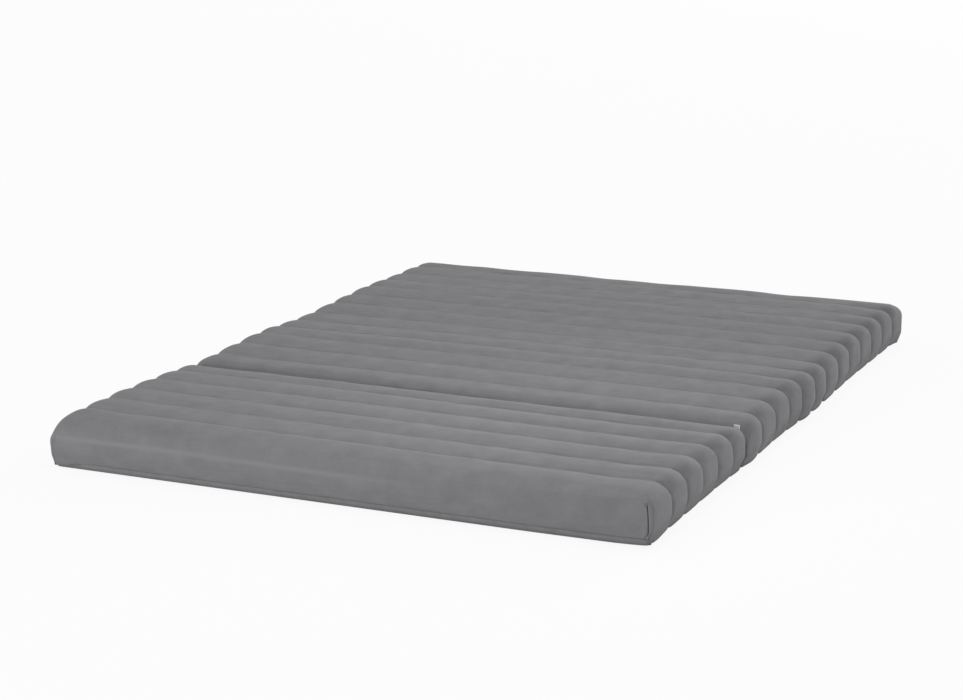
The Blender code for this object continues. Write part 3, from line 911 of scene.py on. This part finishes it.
binding = {
    "low": 4.4 * mm, "high": 15.1 * mm, "bulge": 0.6 * mm, "thickness": 2.2 * mm,
    "rows": (0.07, 0.15, 0.26, 0.42, 0.58, 0.74, 0.85, 0.93), "pucker": 0.25 * mm, "seamDepth": 0.15 * mm,
    "stitchHeights": (14.0 * mm, 5.6 * mm), "stitchSunk": 0.55,
}


def ringStations(section):
    # close together at the corners, then evenly
    length, half = section["length"], mattress["halfWidth"]
    ends = [gap * mm for gap in (1, 3, 6, 9, 12, 16)]
    columns, rows = 40, section["ribs"] * 8
    along = ends + [length - gap for gap in ends[:4]]
    along += [16 * mm + (length - 28 * mm) * step / rows for step in range(1, rows)]
    right = [half - gap for gap in ends] + [(half - 16 * mm) * (step + 0.5) / columns for step in range(columns)]
    return right + [-x for x in right], [toY(section, place) for place in along]


def makeBinding(section, stitch):
    b, half = binding, mattress["halfWidth"]
    across, along = ringStations(section)
    piece, block = gridBlock(section, "EdgeBinding", (b["low"], b["high"]), (1, -1), across, along,
                             [b["low"] + (b["high"] - b["low"]) * share for share in b["rows"]])
    up = (block[:, 2] - b["low"]) / (b["high"] - b["low"])
    run = block[:, 0] + block[:, 1] * 1.7
    pucker = waves(run * 60, up * 1.5, section["seed"] + 31) * b["pucker"] * np.sin(pi * up)
    proud = b["bulge"] * np.sqrt(np.clip(np.sin(pi * np.clip((up - 0.07) / 0.86, 0, 1)), 0, 1)) + pucker
    onSeam = (up > 0.06) & (up < 0.08) | (up > 0.92) & (up < 0.94)
    x, y = onRing(section, block, b["bulge"] - (proud - b["seamDepth"] * onSeam))
    setPlaces(piece, np.stack([x, y, block[:, 2]], 1))
    addWall(piece, b["thickness"])
    finishPiece(piece, materials["tape"], "binding_fabric", section["body"])
    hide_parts(section["name"] + "_edge_binding")
    ends = (section["outer"], toY(section, section["length"]))
    lap = [(-half, ends[1]), (-half, ends[0]), (half, ends[0]), (half, ends[1]), (-half, ends[1])]
    if section["inward"] < 0:
        lap = lap[::-1]
    walk = [np.linspace(a, c, 400)[:-1] for a, c in zip(lap[:-1], lap[1:])]
    x, y = onRing(section, np.concatenate(walk + [[lap[-1]]]), b["bulge"] * b["stitchSunk"])
    rows = []
    for height in b["stitchHeights"]:
        points = np.stack([x, y, np.full(len(x), height)], 1)
        keep = np.concatenate([[True], np.linalg.norm(np.diff(points, axis=0), axis=1) > 0.2 * mm])
        points = points[keep]
        ahead = np.gradient(points, axis=0)
        normals = np.stack([ahead[:, 1], -ahead[:, 0], np.zeros(len(points))], 1)
        normals /= np.linalg.norm(normals, axis=1)[:, None]
        rows.append(sewRow(stitch, points, normals))
    joinRows(section["name"] + "BindingStitches", rows, section)
    print("edge binding made:", section["name"])


basePanel = {
    "height": 4.8 * mm, "edgeRadius": 2.5 * mm, "inset": 0.8 * mm, "thickness": 1.2 * mm, "unevenness": 0.7 * mm,
    "flatEdge": 40 * mm, "rows": (1 * mm, 2 * mm, 3 * mm, 4 * mm), "rims": (0.5 * mm, 2 * mm),
}


def makeBase(section):
    # the lining under the section, turned up inside the binding
    b, half, length = basePanel, mattress["halfWidth"], section["length"]
    across, along = ringStations(section)
    across = across[::2] + [side * (half - gap) for side in (-1, 1) for gap in b["rims"]]
    along = along[::2] + [toY(section, place) for gap in b["rims"] for place in (gap, length - gap)]
    piece, block = gridBlock(section, "BasePanel", (0, b["height"]), (1,), across, along, b["rows"])
    distance = np.abs(block[:, 1] - section["outer"])
    toWall = np.minimum(half - np.abs(block[:, 0]), np.minimum(distance, length - distance))
    a = np.clip(1 - toWall / b["edgeRadius"], 0, 1)
    c = np.clip(1 - block[:, 2] / b["edgeRadius"], 0, 1)
    factor = np.where((a > 0) & (c > 0), np.maximum(a, c) / np.maximum(np.hypot(a, c), 1e-6), 1)
    x, y = onRing(section, block, b["inset"] + a * (1 - factor) * b["edgeRadius"])
    rise = np.abs(waves(x * 7, y * 7, section["seed"] + 51)) * b["unevenness"] * ease(toWall / b["flatEdge"])
    z = np.where(c > 0, b["edgeRadius"] * (1 - c * factor), block[:, 2]) + rise
    setPlaces(piece, np.stack([x, y, z], 1))
    addWall(piece, b["thickness"])
    finishPiece(piece, materials["base"], "base_fabric", section["body"])
    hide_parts(section["name"] + "_base_panel")


foamCore = {
    "clear": 0.4 * mm, "lowerChamfer": 26 * mm, "cornerRadius": 14 * mm, "topRadius": 18 * mm,
    "room": 0.3 * mm,               # the cover's hollow is this much larger all round
}


def makeCore(section):
    low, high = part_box(section["name"] + "_foam_core")
    clear = foamCore["clear"]
    piece = addBlock(section["name"] + "FoamCore", [a + clear for a in low], [a - clear for a in high])

    def span(edge, axis):
        return abs(edge.verts[0].co[axis] - edge.verts[1].co[axis])

    def isLongLower(edge):
        return max(vert.co.z for vert in edge.verts) < low[2] + 1 * mm and span(edge, 1) > 1 * mm

    def isUpright(edge):
        return span(edge, 2) > 1 * mm

    def isUpper(edge):
        onTop = min(vert.co.z for vert in edge.verts) > high[2] - 1 * mm
        return onTop and len({face.normal.z > 0.5 for face in edge.link_faces}) == 2

    bpy.ops.object.mode_set(mode="EDIT")
    for test, size, steps in ((isLongLower, "lowerChamfer", 1), (isUpright, "cornerRadius", 3),
                              (isUpper, "topRadius", 3)):
        selectWhere(piece, "edges", test)
        bpy.ops.mesh.bevel(offset=foamCore[size], segments=steps)
    bpy.ops.object.mode_set(mode="OBJECT")
    finishPiece(piece, materials["foam"], "foam", section["body"])
    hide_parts(section["name"] + "_foam_core")
    print("foam core made:", section["name"])


def foldedStrip(name, s):
    # a strip folded once over a small round, its fold upwards: path is its cut length, across and run say
    # where each point lies on the flat strip
    startFresh()
    bpy.ops.mesh.primitive_grid_add(x_subdivisions=s["columns"], y_subdivisions=s["steps"], size=1)
    piece = bpy.context.object
    piece.name = name
    bpy.ops.object.transform_apply(location=True, rotation=True, scale=True)
    across, run, level = getPlaces(piece).T
    bend = s["bend"]
    leg = s["high"] - s["low"] - bend
    path = 2 * leg + pi * bend
    run = (run + 0.5) * path
    turn = np.clip((run - leg) / bend, 0, pi)
    z = np.where(run > path - leg, s["low"] + path - run, s["high"] - bend + bend * np.sin(turn))
    return piece, path, across, run, -bend * np.cos(turn), np.where(run < leg, s["low"] + run, z)


foldStrip = {
    "halfLength": 654 * mm, "bend": 1.55 * mm, "low": 71.5 * mm, "high": 84.4 * mm, "thickness": 0.7 * mm,
    "steps": 40, "columns": 60, "sag": 0.4 * mm, "sagFrom": 6 * mm, "blendHalf": 0.6 * mm, "blendHeight": 80 * mm,
}


def makeFoldStrip():
    # a strip of cover cloth sewn to both sections, folded down into the gap between them
    s, foldY = foldStrip, mattress["foldY"]
    piece, path, across, run, y, z = foldedStrip("foldStrip", s)
    x = across * 2 * s["halfLength"]
    z = z - s["sag"] * np.abs(np.sin(x * 23)) * ease((z - s["low"]) / s["sagFrom"])
    uv = piece.data.uv_layers.new(name="clothMap")
    values = np.array([(x[loop.vertex_index], run[loop.vertex_index]) for loop in piece.data.loops])
    uv.data.foreach_set("uv", values.ravel())
    setPlaces(piece, np.stack([x, y + foldY, z], 1))
    addWall(piece, s["thickness"])
    finishPiece(piece, materials["cover"], "quilted_fabric")
    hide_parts("fold_seam")
    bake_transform(piece)
    print("fold strip made, cut to", round(2 * s["halfLength"], 3), "by", round(path, 4), "m")


ribbonTab = {
    "middle": 672.5 * mm, "width": 13 * mm, "low": 72 * mm, "high": 99.9 * mm, "bend": 1.1 * mm,
    "thickness": 0.35 * mm, "steps": 40, "columns": 8,
    "curl": 1.2 * mm, "slant": 1.5 * mm, "back": 0.3 * mm, "pressed": 0.55,     # how nearly its two legs lie flat
}


def makeTab():
    # a folded loop of plain ribbon, sewn into the fold
    t = ribbonTab
    piece, path, across, run, y, z = foldedStrip("blankRibbonTab", t)
    up = (z - t["low"]) / (t["high"] - t["low"])
    x = t["middle"] + across * t["width"] + t["slant"] * up
    y = y * (t["pressed"] + (1 - t["pressed"]) * up) + t["curl"] * (across * 2) ** 2 * up - t["back"]
    setPlaces(piece, np.stack([x, y + mattress["foldY"], z], 1))
    addWall(piece, t["thickness"], 0)
    finishPiece(piece, materials["ribbon"], "tab_fabric", "long_section")
    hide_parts("blank_tab")
    print("ribbon tab made, cut to", round(t["width"], 3), "by", round(path, 4), "m")


oneStitch = makeStitch()
for section in (shortSection, longSection):
    seams = makeCover(section)
    joinRows(section["name"] + "ChannelStitches", [sewRow(oneStitch, *seam) for seam in seams], section)
    makeBinding(section, oneStitch)
    makeBase(section)
    makeCore(section)
bpy.data.objects.remove(oneStitch)
makeFoldStrip()
makeTab()


# a pale matt floor, which the camera sees nearly white
studioFloor = {"size": 30, "drop": 0.6 * mm, "colour": "#ededed", "whiteShare": 0.9}
sky = {"level": 0.675, "towardsBack": 0.55, "towardsTop": 0.2}      # softer from the front, stronger from behind


def addWhiteRays(tree):
    # 1 where the camera looks, straight or through a reflection or glass
    path = addNode(tree, "LightPath")
    gloss = addNode(tree, "Math", {"operation": "MAXIMUM"},
                    {0: path.outputs["Is Glossy Ray"], 1: path.outputs["Is Transmission Ray"]})
    return addNode(tree, "Math", {"operation": "MAXIMUM"}, {0: path.outputs["Is Camera Ray"], 1: gloss})


def addFloor(settings):
    startFresh()
    bpy.ops.mesh.primitive_plane_add(size=settings["size"], location=(0, 0, -settings["drop"]))
    floor = bpy.context.object
    floor.name = "studioFloor"
    material, tree, shader = newMaterial("paleStudioFloor", {"Base Color": linear(settings["colour"]),
                                                             "Roughness": 0.9, "Specular IOR Level": 0.1})
    white = addNode(tree, "Emission", {"Color": (1, 1, 1, 1), "Strength": 1.0})
    share = addNode(tree, "Math", {"operation": "MULTIPLY", 1: settings["whiteShare"]}, {0: addWhiteRays(tree)})
    both = addNode(tree, "MixShader", None, {0: share, 1: shader, 2: white})
    out = next(node for node in tree.nodes if node.type == "OUTPUT_MATERIAL")
    tree.links.new(both.outputs[0], out.inputs["Surface"])
    floor.data.materials.append(material)


def addSky(settings):
    world = bpy.data.worlds.new("studio")
    bpy.context.scene.world = world
    world.use_nodes = True
    tree = world.node_tree
    tree.nodes.clear()
    way = addNode(tree, "TexCoord")
    slope = addNode(tree, "VectorMath", {"operation": "DOT_PRODUCT",
                                         1: (0, settings["towardsBack"], settings["towardsTop"])},
                    {0: way.outputs["Generated"]})
    level = settings["level"]
    strength = addNode(tree, "Math", {"operation": "MULTIPLY_ADD", 1: level, 2: level}, {0: slope.outputs["Value"]})
    plain = addNode(tree, "Background", {"Color": (1, 1, 1, 1)}, {"Strength": strength})
    white = addNode(tree, "Background", {"Color": (1, 1, 1, 1), "Strength": 1.0})
    both = addNode(tree, "MixShader", None, {0: addWhiteRays(tree), 1: plain, 2: white})
    addNode(tree, "OutputWorld", None, {"Surface": both})


addCamera(viewpoint)
for name, settings in lamps.items():
    addLamp(name, settings)
addFloor(studioFloor)
addSky(sky)
bpy.context.scene.view_settings.view_transform = "Standard"
print("camera, lamps and floor made")
